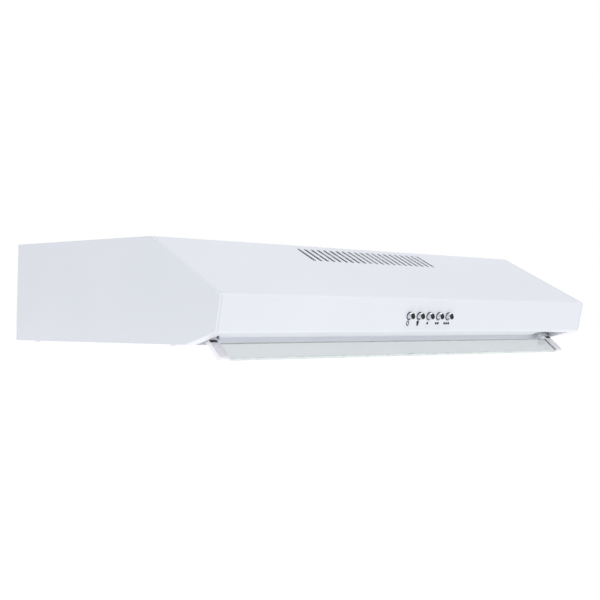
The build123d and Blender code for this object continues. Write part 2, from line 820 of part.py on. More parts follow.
with BuildPart() as duct_ring:
    with BuildSketch(Plane.XY.offset(flap_z - flap_sheet - 2 * body_gap)):
        with Locations(duct_centre):
            Circle(duct_radius + duct_wall)
    extrude(amount=duct_rim - flap_z + flap_sheet + 2 * body_gap)
    with BuildSketch():
        with Locations(duct_centre):
            Circle(duct_radius + duct_flange)
    extrude(amount=duct_rim)
    fillet(edges().filter_by(GeomType.CIRCLE).group_by(Axis.Z)[-1], radius=duct_rim * 0.6)
    # Bore for the adapter, then the flaps' seat below its shoulder
    with BuildSketch(Plane.XY.offset(shoulder_z)):
        with Locations(duct_centre):
            Circle(duct_radius)
    extrude(amount=2 * duct_depth, mode=Mode.SUBTRACT)
    with BuildSketch(Plane.XY.offset(flap_z - body_gap)):
        with Locations(duct_centre):
            Circle(duct_radius - shoulder)
    extrude(amount=2 * duct_depth, mode=Mode.SUBTRACT)
    with BuildSketch(Plane.XY.offset(flap_z - 4 * flap_sheet)):
        with Locations(duct_centre):
            Circle(duct_radius - shoulder - ledge)
            Rectangle(2 * duct_radius, 2 * flap_pin_offset + 2 * flap_barrel, mode=Mode.SUBTRACT)
    extrude(amount=2 * duct_depth, mode=Mode.SUBTRACT)
    # Holes of the flaps' pins
    with BuildSketch(Plane.YZ.offset(-duct_radius - 2 * duct_wall)):
        for way in (-1, 1):
            with Locations((way * flap_pin_offset - duct_from_wall, pin_z)):
                Circle(flap_pin_radius)
    extrude(amount=2 * duct_radius + 4 * duct_wall, mode=Mode.SUBTRACT)
save(duct_ring, "duct_ring")

with BuildPart() as flap_pins:
    for way in (-1, 1):
        with BuildSketch(Plane.YZ.offset(-duct_radius - duct_wall / 2)):
            with Locations((way * flap_pin_offset - duct_from_wall, pin_z)):
                Circle(flap_pin_radius)
        extrude(amount=2 * duct_radius + duct_wall)
save(flap_pins, "flap_pins")

for way, name in ((1, "rear_flap"), (-1, "front_flap")):
    # A half disc hanging from the barrel that turns on its pin
    hinge_y = way * flap_pin_offset - duct_from_wall
    with BuildPart() as flap:
        with BuildSketch(Plane.XY.offset(flap_z)):
            with Locations(duct_centre):
                Circle(flap_reach)
                cut = 3 * flap_reach
                with Locations((0, way * (flap_pin_offset - cut / 2))):
                    Rectangle(cut, cut, mode=Mode.SUBTRACT)
        extrude(amount=flap_sheet)
        with BuildSketch(Plane.YZ.offset(-flap_reach * 0.9)):
            with Locations((hinge_y, pin_z)):
                Circle(flap_barrel)
        extrude(amount=flap_reach * 1.8)
        with BuildSketch(Plane.YZ.offset(-flap_reach)):
            with Locations((hinge_y, pin_z)):
                Circle(flap_pin_radius + slip)
        extrude(amount=2 * flap_reach, mode=Mode.SUBTRACT)
    save(flap, name)


# ---------------------------------------------------------------- mains inlet, wiring

with BuildPart() as terminal_box:
    with BuildSketch(Plane.XY.offset(-sheet - box_height)):
        with Locations((box_x, -box_from_wall)):
            Rectangle(box_length, box_depth, align=(Align.CENTER, Align.MAX))
    extrude(amount=box_height)
    fillet(edges().filter_by(Axis.Z), radius=3)
    with BuildSketch(Plane.XY.offset(-sheet - box_height)):
        with Locations((box_x, -box_from_wall - plastic)):
            Rectangle(box_length - 2 * plastic, box_depth - 2 * plastic, align=(Align.CENTER, Align.MAX))
    extrude(amount=box_height - plastic, mode=Mode.SUBTRACT)
    with BuildSketch(Plane.XY.offset(-sheet)):
        with Locations((gland_x, -gland_from_wall)):
            Circle(gland_radius)
    extrude(amount=-2 * plastic, mode=Mode.SUBTRACT)
save(terminal_box, "terminal_box")

with BuildPart() as terminal_cover:
    with BuildSketch(Plane.XY.offset(-sheet - box_height - plastic)):
        with Locations((box_x, -box_from_wall)):
            Rectangle(box_length, box_depth, align=(Align.CENTER, Align.MAX))
    extrude(amount=plastic)
    fillet(edges().filter_by(Axis.Z), radius=3)
    fillet(edges().group_by(Axis.Z)[0], radius=plastic / 2)
save(terminal_cover, "terminal_cover")

with BuildPart() as terminal_strip:
    # Three brass-screwed terminals under the gland, hung from the box
    with BuildSketch(Plane.XY.offset(-sheet - plastic - strip_height)):
        with Locations((box_x - box_length / 4, -box_from_wall - box_depth / 2)):
            Rectangle(3.4 * strip_pitch, strip_width)
            with GridLocations(strip_pitch, 0, 3, 1):
                Circle(terminal_bore, mode=Mode.SUBTRACT)
    extrude(amount=strip_height)
save(terminal_strip, "terminal_strip")

with BuildPart() as cable_gland:
    with BuildSketch():
        with Locations((gland_x, -gland_from_wall)):
            Circle(gland_flange)
    extrude(amount=gland_rim)
    fillet(edges().group_by(Axis.Z)[-1], radius=gland_rim * 0.4)
    with BuildSketch():
        with Locations((gland_x, -gland_from_wall)):
            Circle(gland_radius)
    extrude(amount=-gland_length)
    with BuildSketch(Plane.XY.offset(-gland_length)):
        with Locations((gland_x, -gland_from_wall)):
            Circle(gland_bore)
    extrude(amount=gland_length + 2 * gland_rim, mode=Mode.SUBTRACT)
save(cable_gland, "cable_gland")

capacitor_y = -box_from_wall - box_depth - capacitor_radius - capacitor_gap
with BuildPart() as capacitor:
    with BuildSketch(Plane.YZ.offset(box_x - capacitor_length / 2)):
        with Locations((capacitor_y, -sheet - capacitor_radius)):
            Circle(capacitor_radius)
    extrude(amount=capacitor_length)
    fillet(edges().filter_by(GeomType.CIRCLE), radius=2)
save(capacitor, "capacitor")

box_front = -box_from_wall - box_depth
loom_x = box_x - box_length / 2 + loom_bend / 2
loom_top = -sheet - box_height / 2
loom_pass = switch_half + loom_outset
loom_end = switch_depth / 2 - switch_front
with BuildPart() as control_loom:
    # Bundle of wires from the terminal box, past the fan, to the side of the switch
    with BuildLine() as loom_route:
        FilletPolyline(
            (loom_x, box_front, loom_top),
            (loom_x, box_front - 2 * loom_bend, loom_top),
            (loom_pass, box_front - 6 * loom_bend, loom_top - loom_bend / 2),
            (loom_pass, loom_end + 2 * loom_bend, button_z + loom_bend),
            (loom_pass, loom_end, button_z),
            (switch_half + sheet, loom_end, button_z),
            radius=loom_bend,
        )
    with BuildSketch(Plane(origin=loom_route.line @ 0, z_dir=loom_route.line % 0)):
        Circle(loom_radius)
    sweep()
save(control_loom, "control_loom")


# ---------------------------------------------------------------- lamp

# Across the hood: local x runs towards the wall along the underside, local y up from it
under_side = Plane(origin=(0, *low_corner), x_dir=under_plane.y_dir, z_dir=(1, 0, 0))
lens_centre = lens_from_corner + lens_depth / 2

with BuildPart() as lamp_lens:
    with BuildSketch(under_plane):
        with Locations((0, lens_centre)):
            RectangleRounded(lens_length - 2 * body_gap, lens_depth - 2 * body_gap, 2)
    extrude(amount=lens_thickness)
    with BuildSketch(under_plane.offset(sheet)):
        with Locations((0, lens_centre)):
            RectangleRounded(lens_length + 2 * lens_lip, lens_depth + 2 * lens_lip, 2)
    extrude(amount=lens_thickness - sheet)
save(lamp_lens, "lamp_lens")

reflector_room = lens_lip + body_gap + reflector_sheet
reflector_front = lens_centre - lens_depth / 2 - reflector_room
reflector_rear = lens_centre + lens_depth / 2 + reflector_room
reflector_half = lens_length / 2 + reflector_room
lamp_point = under_side.from_local_coords((lens_centre, bulb_height, 0))
lamp_axis = (lamp_point.Y, lamp_point.Z)
bulb_base = -reflector_half + holder_gap + plastic
with BuildPart() as lamp_reflector:
    with BuildSketch(under_side.offset(-reflector_half)):
        with BuildLine():
            FilletPolyline(
                (reflector_front, sheet),
                (reflector_front + 2, reflector_waist),
                (reflector_front + 13, reflector_height),
                (reflector_rear - 13, reflector_height),
                (reflector_rear - 2, reflector_waist),
                (reflector_rear, sheet),
                radius=6,
            )
            Line((reflector_rear, sheet), (reflector_front, sheet))
        make_face()
    extrude(amount=2 * reflector_half)
    trough_mouth = faces().filter_by(GeomType.PLANE).sort_by(Axis((0, 0, 0), under_plane.z_dir))[0]
    offset(amount=-reflector_sheet, openings=[trough_mouth], kind=Kind.INTERSECTION)
save(lamp_reflector, "lamp_reflector")

with BuildPart() as lamp_holder:
    # Screw socket on a foot that stands on the underside frame's front strip
    with BuildSketch(Plane.YZ.offset(-reflector_half + holder_gap)):
        with Locations(lamp_axis):
            Circle(holder_radius)
    extrude(amount=holder_length)
    with BuildSketch(Plane.YZ.offset(bulb_base)):
        with Locations(lamp_axis):
            Circle(holder_radius - plastic)
    extrude(amount=holder_length, mode=Mode.SUBTRACT)
save(lamp_holder, "lamp_holder")

bulb_neck = holder_radius - plastic - body_gap
with BuildPart() as lamp_bulb:
    # Small screw-in candle lamp, turned about its own axis
    with BuildSketch(Plane(origin=(bulb_base, *lamp_axis), x_dir=(1, 0, 0), z_dir=(0, -1, 0))):
        with BuildLine():
            outline = Spline(
                (holder_length, bulb_neck),
                (holder_length + bulb_length * 0.4, bulb_radius),
                (holder_length + bulb_length * 0.75, bulb_radius * 0.72),
                (holder_length + bulb_length, 0),
                tangents=((1, 0.25), (0, -1)),
            )
            Polyline(outline @ 1, (0, 0), (0, bulb_neck * 0.6), (3, bulb_neck), outline @ 0)
        make_face()
    revolve(axis=Axis((bulb_base, *lamp_axis), (1, 0, 0)))
save(lamp_bulb, "lamp_bulb")


# ---------------------------------------------------------------- grease filters

filter_width = opening_width - 2 * filter_gap
filter_length = opening_length - 2 * filter_gap
mesh_width = filter_width - 2 * filter_skin - body_gap
mesh_length = filter_length - 2 * filter_skin - body_gap
tab_height = sheet + body_gap
pocket_width = latch_width + 2 * latch_wall
pocket_depth = latch_depth + latch_travel + latch_wall + 2
latch_height = tab_height + 2 * body_gap
latch_thickness = 2.0
channel_bottom = (filter_height - channel_height) / 2


def grease_filter(filter_x, side):
    """An aluminium cassette: folded rim, layered mesh and a sliding latch."""
    front = opening_front + filter_gap
    with BuildPart() as rim:
        with BuildSketch(under_plane):
            with Locations((filter_x, front)):
                Rectangle(filter_width, filter_length, align=(Align.CENTER, Align.MIN))
                Rectangle(pocket_width, pocket_depth, align=(Align.CENTER, Align.MIN), mode=Mode.SUBTRACT)
            with Locations((filter_x, front + filter_length / 2)):
                RectangleRounded(
                    filter_width - 2 * filter_rim,
                    filter_length - 2 * filter_rim,
                    filter_rim,
                    mode=Mode.SUBTRACT,
                )
            with Locations((filter_x, front)):
                Rectangle(pocket_width, pocket_depth, align=(Align.CENTER, Align.MIN))
        extrude(amount=filter_height)
        # Channel that the mesh sits in
        with BuildSketch(under_plane.offset(channel_bottom)):
            with Locations((filter_x, front + filter_length / 2)):
                Rectangle(filter_width - 2 * filter_skin, filter_length - 2 * filter_skin)
            with Locations((filter_x, front)):
                Rectangle(pocket_width, pocket_depth, align=(Align.CENTER, Align.MIN), mode=Mode.SUBTRACT)
        extrude(amount=channel_height, mode=Mode.SUBTRACT)
        # Slide for the latch, and the window that a finger reaches it through
        with BuildSketch(under_plane.offset(latch_height - body_gap)):
            with Locations((filter_x, front - 2 * latch_inset)):
                Rectangle(
                    latch_width + 2 * body_gap,
                    latch_depth + latch_travel + 8 * latch_inset,
                    align=(Align.CENTER, Align.MIN),
                )
        extrude(amount=latch_thickness + 2 * body_gap, mode=Mode.SUBTRACT)
        with BuildSketch(under_plane):
            with Locations((filter_x, front + latch_depth / 2 - 2)):
                RectangleRounded(
                    latch_width - 10,
                    latch_depth / 2 + latch_travel + 2,
                    2,
                    align=(Align.CENTER, Align.MIN),
                )
        extrude(amount=latch_height, mode=Mode.SUBTRACT)
        # Tabs that hook over the rear edge of the opening
        with BuildSketch(under_plane.offset(tab_height)):
            with Locations((filter_x, front + filter_length)):
                with GridLocations(filter_width * 0.6, 0, 2, 1):
                    Rectangle(tab_width, 2 * filter_gap + 2 * tab_grip)
            with Locations((filter_x, front + filter_length - filter_skin)):
                Rectangle(
                    2 * filter_width, filter_length / 2, align=(Align.CENTER, Align.MAX), mode=Mode.SUBTRACT
                )
        extrude(amount=tab_thickness)
    save(rim, side + "_filter_rim")

    with BuildPart() as mesh:
        # Mesh sheet with a turned-up edge that fills the rim's channel
        with BuildSketch(under_plane.offset(channel_bottom)):
            with Locations((filter_x, front + filter_length / 2)):
                Rectangle(mesh_width, mesh_length)
            with Locations((filter_x, front)):
                Rectangle(pocket_width + body_gap, 2 * pocket_depth + body_gap, mode=Mode.SUBTRACT)
        extrude(amount=channel_height)
        with BuildSketch(under_plane.offset(channel_bottom + mesh_thickness)):
            with Locations((filter_x, front + filter_length / 2)):
                Rectangle(mesh_width - 2 * mesh_thickness, mesh_length - 2 * mesh_thickness)
            with Locations((filter_x, front)):
                Rectangle(
                    pocket_width + body_gap + 2 * mesh_thickness,
                    2 * (pocket_depth + mesh_thickness) + body_gap,
                    mode=Mode.SUBTRACT,
                )
        extrude(amount=channel_height, mode=Mode.SUBTRACT)
    save(mesh, side + "_filter_mesh")

    with BuildPart() as latch:
        with BuildSketch(under_plane.offset(latch_height)):
            with Locations((filter_x, front + latch_inset)):
                Rectangle(latch_width, latch_depth, align=(Align.CENTER, Align.MIN))
            with Locations((filter_x, front + 2 * latch_inset)):
                Rectangle(latch_width / 2, tab_grip + filter_gap, align=(Align.CENTER, Align.MAX))
        extrude(amount=latch_thickness)
        with BuildSketch(under_plane.offset(latch_inset)):
            with Locations((filter_x, front + latch_depth / 2)):
                Rectangle(latch_width - 14, latch_bar, align=(Align.CENTER, Align.MIN))
        extrude(amount=latch_height - latch_inset + latch_thickness / 2)
    save(latch, side + "_filter_latch")


grease_filter(-opening_x, "left")
grease_filter(opening_x, "right")


# ---------------------------------------------------------------- fasteners

with BuildPart() as casing_screws:
    # Low-headed screws that hold the underside frame to the side panels
    for row in screw_rows:
        with BuildSketch(under_plane.offset(-flush_head)):
            with Locations((0, row)):
                with GridLocations(2 * screw_x, 0, 2, 1):
                    Circle(screw_head)
        extrude(amount=flush_head)
        with BuildSketch(under_plane):
            with Locations((0, row)):
                with GridLocations(2 * screw_x, 0, 2, 1):
                    Circle(screw_radius)
        extrude(amount=screw_length)
    head_rims = edges().filter_by(GeomType.CIRCLE).group_by(Axis((0, 0, 0), under_plane.z_dir))[0]
    fillet(head_rims, radius=flush_head * 0.6)
save(casing_screws, "casing_screws")
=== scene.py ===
# %% [markdown]
# # A slim visor cooker hood
# This lesson dresses a finished mechanical model: the steel casing, the glass
# visor, the buttons, the filters and the fan arrive as a fixed frame, in metres,
# with +Z up, the wall at y = 0 and the cook standing on the -Y side. Where a
# piece already has its right shape it only gets a finish. Where the real piece
# has detail that solid modelling leaves out, a new mesh stands in for it.

import bmesh
import bpy
import json
from math import cos, pi, radians, sin
from mathutils import Matrix, Vector

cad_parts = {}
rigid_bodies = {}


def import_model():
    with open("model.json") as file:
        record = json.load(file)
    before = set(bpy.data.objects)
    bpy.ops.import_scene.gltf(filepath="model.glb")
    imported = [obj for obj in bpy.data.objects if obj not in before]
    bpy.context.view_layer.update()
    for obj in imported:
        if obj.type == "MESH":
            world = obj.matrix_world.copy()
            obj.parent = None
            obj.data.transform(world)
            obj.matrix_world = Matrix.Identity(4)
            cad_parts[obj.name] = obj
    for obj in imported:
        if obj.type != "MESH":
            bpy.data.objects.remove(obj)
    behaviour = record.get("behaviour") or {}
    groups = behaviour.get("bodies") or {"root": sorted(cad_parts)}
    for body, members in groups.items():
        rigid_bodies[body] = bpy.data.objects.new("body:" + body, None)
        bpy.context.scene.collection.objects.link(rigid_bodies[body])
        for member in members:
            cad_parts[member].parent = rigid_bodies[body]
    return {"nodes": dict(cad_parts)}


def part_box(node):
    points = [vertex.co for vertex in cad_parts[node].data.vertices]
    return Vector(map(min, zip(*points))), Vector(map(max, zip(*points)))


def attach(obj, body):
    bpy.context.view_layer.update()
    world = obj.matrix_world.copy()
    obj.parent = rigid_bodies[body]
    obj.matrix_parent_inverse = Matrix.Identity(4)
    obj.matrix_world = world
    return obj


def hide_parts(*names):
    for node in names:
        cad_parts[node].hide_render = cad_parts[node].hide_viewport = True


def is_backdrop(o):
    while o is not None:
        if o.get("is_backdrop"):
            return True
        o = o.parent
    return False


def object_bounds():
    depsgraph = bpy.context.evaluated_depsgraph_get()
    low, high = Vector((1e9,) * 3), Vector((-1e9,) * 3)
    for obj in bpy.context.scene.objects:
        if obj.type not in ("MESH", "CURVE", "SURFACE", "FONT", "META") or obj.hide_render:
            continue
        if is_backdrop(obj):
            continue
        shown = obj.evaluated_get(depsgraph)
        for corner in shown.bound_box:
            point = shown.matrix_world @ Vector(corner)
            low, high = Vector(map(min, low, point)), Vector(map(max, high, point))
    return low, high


for leftover in list(bpy.data.objects):
    bpy.data.objects.remove(leftover)
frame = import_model()
cad_low, cad_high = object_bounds()
print(len(frame["nodes"]), "pieces,", [round(v, 4) for v in cad_high - cad_low])

# %% [markdown]
# ## Camera
# A hood hangs at eye height, so the camera looks level along its underside. A
# lens of nearly 60 mm keeps the far end from shrinking too much. The direction
# is built from yaw and pitch, and the roll then turns the picture about it.

# %% Place the camera
eye = Vector((-0.8408, -1.2778, -0.0630))
yaw = radians(39.141)
pitch = radians(-0.15)
roll = radians(1.361)
ahead = Vector((sin(yaw) * cos(pitch), cos(yaw) * cos(pitch), sin(pitch)))
level_right = Vector((cos(yaw), -sin(yaw), 0))
level_up = level_right.cross(ahead)
right = cos(roll) * level_right + sin(roll) * level_up
up = cos(roll) * level_up - sin(roll) * level_right
camera = bpy.data.objects.new("camera", bpy.data.cameras.new("camera"))
camera.data.lens = 58.44
camera.data.sensor_width = 36
camera.data.clip_start = 0.01
camera.matrix_world = Matrix.Translation(eye) @ Matrix(
    (right, up, -ahead)
).transposed().to_4x4()
bpy.context.scene.collection.objects.link(camera)
bpy.context.scene.camera = camera
bpy.context.scene.view_settings.view_transform = "Standard"
print("camera at", [round(v, 3) for v in camera.location])

# %% [markdown]
# ## Shader arithmetic
# A procedural finish is a formula: masks, noise and distances, added and
# multiplied. Wiring every Math node by hand hides that formula, so a small
# class wraps an output socket, and the ordinary operators add the nodes. The
# reflected forms let a plain number stand on the left, as in 1 - mask.


# %% A socket that does sums
class Signal:
    def __init__(self, finish, socket):
        self.finish = finish
        self.socket = socket

    def sum_with(self, operation, first, second):
        return self.finish.node(
            "ShaderNodeMath", {"operation": operation}, {0: first, 1: second}
        )

    def __add__(self, other):
        return self.sum_with("ADD", self, other)

    def __radd__(self, other):
        return self.sum_with("ADD", other, self)

    def __sub__(self, other):
        return self.sum_with("SUBTRACT", self, other)

    def __rsub__(self, other):
        return self.sum_with("SUBTRACT", other, self)

    def __mul__(self, other):
        return self.sum_with("MULTIPLY", self, other)

    def __rmul__(self, other):
        return self.sum_with("MULTIPLY", other, self)

    def __truediv__(self, other):
        return self.sum_with("DIVIDE", self, other)


# %% [markdown]
# ## A finish
# Each finish is one Principled shader with a few nodes in front of it. The
# class keeps the tree and offers a single way to add a node: its type, the
# settings that must come first, and the values or links of its sockets. Every
# pattern reads Object coordinates, which are metres here because each piece
# sits at the origin with its place in its mesh.


# %% The finish class
class Finish:
    def __init__(self, name, **constants):
        self.material = bpy.data.materials.new(name)
        self.material.use_nodes = True
        self.tree = self.material.node_tree
        self.shader = self.tree.nodes["Principled BSDF"]
        for socket, value in constants.items():
            self.shader.inputs[socket.replace("_", " ")].default_value = value
        self.place = self.node("ShaderNodeTexCoord", output="Object")

    def node(self, kind, settings=None, inputs=None, output=0):
        made = self.tree.nodes.new(kind)
        for name, value in (settings or {}).items():
            setattr(made, name, value)
        for name, value in (inputs or {}).items():
            self.feed(made.inputs[name], value)
        return Signal(self, made.outputs[output])

    def feed(self, socket, value):
        if isinstance(value, Signal):
            self.tree.links.new(value.socket, socket)
        else:
            socket.default_value = value

    def drive(self, socket, value):
        """Link a varying value to one of the shader's own sockets."""
        self.feed(self.shader.inputs[socket], value)

    def noise(self, scale, detail=2.0, roughness=0.5, stretch=(1, 1, 1)):
        """Smooth noise from 0 to 1; scale counts features per metre."""
        where = self.node(
            "ShaderNodeMapping", None, {"Vector": self.place, "Scale": stretch}
        )
        return self.node(
            "ShaderNodeTexNoise",
            None,
            {"Vector": where, "Scale": scale, "Detail": detail, "Roughness": roughness},
        )

    def mix(self, factor, first, second):
        """A colour between two colours."""
        made = self.tree.nodes.new("ShaderNodeMix")
        made.data_type = "RGBA"
        self.feed(made.inputs[0], factor)
        self.feed(made.inputs[6], first)
        self.feed(made.inputs[7], second)
        return Signal(self, made.outputs[2])

    def bump(self, height, strength, distance):
        """Relief of a height signal; distance is in metres."""
        relief = self.node(
            "ShaderNodeBump",
            None,
            {"Height": height, "Strength": strength, "Distance": distance},
        )
        self.feed(self.shader.inputs["Normal"], relief)


def shade(red, green, blue):
    """A screen colour from 0 to 255 as the linear colour that a shader wants."""
    linear = [
        (v / 255 / 12.92 if v <= 10 else ((v / 255 + 0.055) / 1.055) ** 2.4)
        for v in (red, green, blue)
    ]
    return (*linear, 1.0)


print("white enamel is", [round(v, 3) for v in shade(231, 233, 239)])

# %% [markdown]
# ## White enamel
# The casing is sheet steel with a baked powder coat. Powder melts into a film
# with a faint orange peel, about a millimetre and a half from crest to crest,
# so its highlights are soft and slightly broken. A slow drift in tone and gloss
# stands for uneven film thickness. It is far too fine to model, so it is bump.

# %% Bake the powder coat
enamel = Finish("powder_coat", Specular_IOR_Level=0.45, Coat_Roughness=0.18)
peel = enamel.noise(640, detail=1.5)
grain = enamel.noise(2600, detail=1.0)
drift = enamel.noise(7, detail=2.0)
enamel.drive(
    "Base Color", enamel.mix(drift, shade(224, 227, 233), shade(231, 233, 239))
)
enamel.drive("Roughness", 0.3 + 0.1 * drift + 0.05 * peel)
enamel.drive("Coat Weight", 0.18 + 0.12 * drift)
enamel.bump(peel * 0.8 + grain * 0.2, 0.22, 0.00012)
print("powder coat:", len(enamel.tree.nodes), "nodes")

# %% [markdown]
# ## Galvanised steel
# Brackets, screws and the back panel are plain zinc-coated sheet. Molten zinc
# freezes in flat crystals, the spangle, each tilted a little, so each one is a
# little lighter, darker or duller than its neighbours. Voronoi cells with a
# random value per cell are exactly that.

# %% Grow the spangle
zinc = Finish("zinc_coat", Metallic=0.85)
wobble = zinc.noise(60, detail=2.0)
crystal_place = zinc.node(
    "ShaderNodeVectorMath",
    {"operation": "MULTIPLY_ADD"},
    {0: wobble, 1: (0.006, 0.006, 0.006), 2: zinc.place},
)
crystal = zinc.node(
    "ShaderNodeTexVoronoi",
    {"feature": "F1"},
    {"Vector": crystal_place, "Scale": 95.0},
    output="Color",
)
tone = zinc.node("ShaderNodeSeparateColor", None, {"Color": crystal})
smear = zinc.noise(160, detail=3.0, stretch=(1, 0.25, 1))
zinc.drive("Base Color", zinc.mix(tone, shade(168, 173, 178), shade(206, 210, 214)))
zinc.drive("Roughness", 0.3 + 0.16 * tone + 0.1 * smear)
zinc.bump(smear + tone * 0.3, 0.15, 0.0001)
print("spangle cells are about", round(1000 / 95, 1), "mm across")

# %% [markdown]
# ## Moulded plastics
# Every plastic here is moulded in a spark-eroded tool, which leaves a fine even
# grain. One function makes them all: a colour, a gloss, and how coarse the
# grain is. The glossy ones keep only the slow ripple of the tool's polish.


# %% One recipe for the plastics
def moulded(name, colour, gloss, grain_scale, grain_depth):
    finish = Finish(name, Specular_IOR_Level=0.5)
    speck = finish.noise(grain_scale, detail=2.0)
    slow = finish.noise(25, detail=2.0)
    darker = tuple(v * 0.93 for v in colour[:3]) + (1.0,)
    finish.drive("Base Color", finish.mix(slow, darker, colour))
    finish.drive("Roughness", gloss + 0.12 * slow + 0.06 * speck)
    finish.bump(speck, 0.3, grain_depth)
    return finish


white_plastic = moulded("white_plastic_grain", shade(250, 248, 252), 0.22, 900, 0.00004)
black_plastic = moulded("black_plastic_grain", shade(34, 35, 38), 0.45, 1400, 0.00012)
black_gloss = moulded("black_gloss_cap", shade(4, 4, 7), 0.34, 700, 0.00001)
# The fan housing's grey is darker than the real moulding: partly its own grey plastic,
# partly painted shade for the dim inside of the casing seen through the louvre slots.
grey_plastic = moulded("grey_plastic_darkened_as_shade", shade(74, 76, 80), 0.42, 1200, 0.00014)
terminal_plastic = moulded("terminal_block", shade(222, 216, 196), 0.4, 1100, 0.0001)
latch_plastic = moulded("latch_grain", shade(74, 77, 82), 0.4, 1200, 0.00012)
pale_ceramic = moulded("pale_ceramic_body", shade(232, 229, 220), 0.5, 1500, 0.0001)
loom_sleeve = moulded("loom_sleeve_pvc", shade(58, 60, 64), 0.38, 500, 0.00015)
print("eight plastics")

# %% [markdown]
# ## Bright metals
# The button sleeves are turned and chromed, the reflector and the capacitor's
# can are drawn aluminium, the springs are bare wire. All are full metals: what
# differs is the tone and the direction and depth of the tool marks.


# %% One recipe for the metals
def metal(name, colour, gloss, mark_scale, stretch, depth):
    finish = Finish(name, Metallic=1.0)
    marks = finish.noise(mark_scale, detail=3.0, stretch=stretch)
    slow = finish.noise(40, detail=1.0)
    dull = tuple(v * 0.86 for v in colour[:3]) + (1.0,)
    finish.drive("Base Color", finish.mix(slow, dull, colour))
    finish.drive("Roughness", gloss + 0.12 * marks)
    finish.bump(marks, 0.25, depth)
    return finish


chrome = metal("turned_chrome", shade(228, 230, 234), 0.07, 900, (1, 6, 1), 0.00002)
can_metal = metal("drawn_can", shade(208, 211, 215), 0.24, 420, (0.2, 1, 1), 0.00006)
filter_metal = metal(
    "filter_foil", shade(196, 199, 202), 0.3, 700, (1, 0.4, 1), 0.00008
)
spring_steel = metal(
    "spring_wire", shade(150, 152, 156), 0.25, 900, (1, 1, 1), 0.00003
)
print("four metals")

# %% [markdown]
# ## Motor paint, bulb glass and the lamp's lens
# The motor's shell is dipped in a thick dark lacquer. The bulb is pearled
# glass, white because light scatters inside it. The lens is clear plastic with
# prisms moulded in its outer face, so that the cook doesn't see the bulb: rows
# of small ridges, drawn as a wave along the lens.

# %% Finish the lamp and the motor
motor_paint = moulded("motor_lacquer", shade(62, 66, 72), 0.3, 260, 0.0002)
bulb_glass = moulded("pearl_glass", shade(246, 245, 240), 0.12, 80, 0.00001)
lens = Finish("prism_lens", Transmission_Weight=0.55, IOR=1.49)
prisms = lens.node(
    "ShaderNodeTexWave",
    {"wave_type": "BANDS", "bands_direction": "X", "wave_profile": "TRI"},
    {"Vector": lens.place, "Scale": 62.0},
)
cross_prisms = lens.node(
    "ShaderNodeTexWave",
    {"wave_type": "BANDS", "bands_direction": "Y", "wave_profile": "TRI"},
    {"Vector": lens.place, "Scale": 62.0},
)
lens.drive(
    "Base Color",
    lens.mix(prisms * cross_prisms, shade(226, 230, 230), shade(246, 248, 247)),
)
lens.drive("Roughness", 0.12 + 0.1 * lens.noise(300))
lens.bump(prisms + cross_prisms, 0.8, 0.0004)
print("prism pitch", round(1000 * 2 * pi / 20 / 62, 1), "mm")

# %% [markdown]
# ## Visor glass
# Float glass is clear through its faces and green along its edges, because
# there the eye looks through centimetres of it. The faces here are one finish,
# with real transmission and a slight grey tint. The ground edges are another,
# pale green and less clear, given to the narrow faces of the pane.

# %% Two finishes for one pane
visor_clear = Finish("visor_clear", Transmission_Weight=1.0, IOR=1.45)
film = visor_clear.noise(14, detail=3.0)
visor_clear.drive(
    "Base Color", visor_clear.mix(film, shade(206, 211, 213), shade(217, 221, 222))
)
visor_clear.drive("Roughness", 0.02 + 0.04 * film)
visor_clear.bump(visor_clear.noise(9), 0.05, 0.0005)
visor_edge = Finish("visor_ground_edge", Transmission_Weight=0.25, IOR=1.45)
grind = visor_edge.noise(500, detail=2.0, stretch=(0.1, 1, 1))
visor_edge.drive(
    "Base Color", visor_edge.mix(grind, shade(226, 236, 233), shade(240, 246, 244))
)
visor_edge.drive("Roughness", 0.18 + 0.2 * grind)
visor_edge.bump(grind, 0.2, 0.00005)
print("glass ready")

# %% [markdown]
# ## Dress the frame's own pieces
# The record gives each node a material slot. A table from slot to finish
# dresses all of them at once.

# %% From slot to finish
finishes = {
    "white_enamel": enamel,
    "zinc_steel": zinc,
    "white_plastic": white_plastic,
    "visor_glass": visor_clear,
    "chrome": chrome,
    "black_gloss": black_gloss,
    "black_plastic": black_plastic,
    "spring_steel": spring_steel,
    "grey_plastic": grey_plastic,
    "motor_paint": motor_paint,
    "pale_ceramic": pale_ceramic,
    "terminal_plastic": terminal_plastic,
    "can_aluminium": can_metal,
    "loom_sleeve": loom_sleeve,
    "lamp_lens": lens,
    "bulb_glass": bulb_glass,
    "filter_aluminium": filter_metal,
    "latch_plastic": latch_plastic,
}
slot_of = {}
for name, node in frame["nodes"].items():
    slot_of[name] = node.data.materials[0].name.split(".")[0]
    for place in node.material_slots:
        place.material = finishes[slot_of[name]].material
print(len(set(slot_of.values())), "slots dressed")

# %% [markdown]
# ## Tools for new pieces
# Three helpers serve the rest of the lesson. The first turns a finished bmesh
# into an object that rides on a body and stands for one or more nodes. The
# second copies a node's solid as clean polygons: its loose triangles are merged
# and the flat ones are joined. The third softens the sharp edges of such a
# copy, as a mould or a press would.


# %% Make a piece from a bmesh
def add_piece(name, shape, finish, body, nodes=(), angle=35):
    mesh = bpy.data.meshes.new(name)
    shape.to_mesh(mesh)
    shape.free()
    mesh.materials.append(finish.material)
    for face in mesh.polygons:
        face.use_smooth = True
    mesh.set_sharp_from_angle(angle=radians(angle))
    piece = bpy.data.objects.new(name, mesh)
    bpy.context.scene.collection.objects.link(piece)
    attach(piece, body)
    if nodes:
        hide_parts(*nodes)
    print(name, len(mesh.polygons), "faces")
    return piece


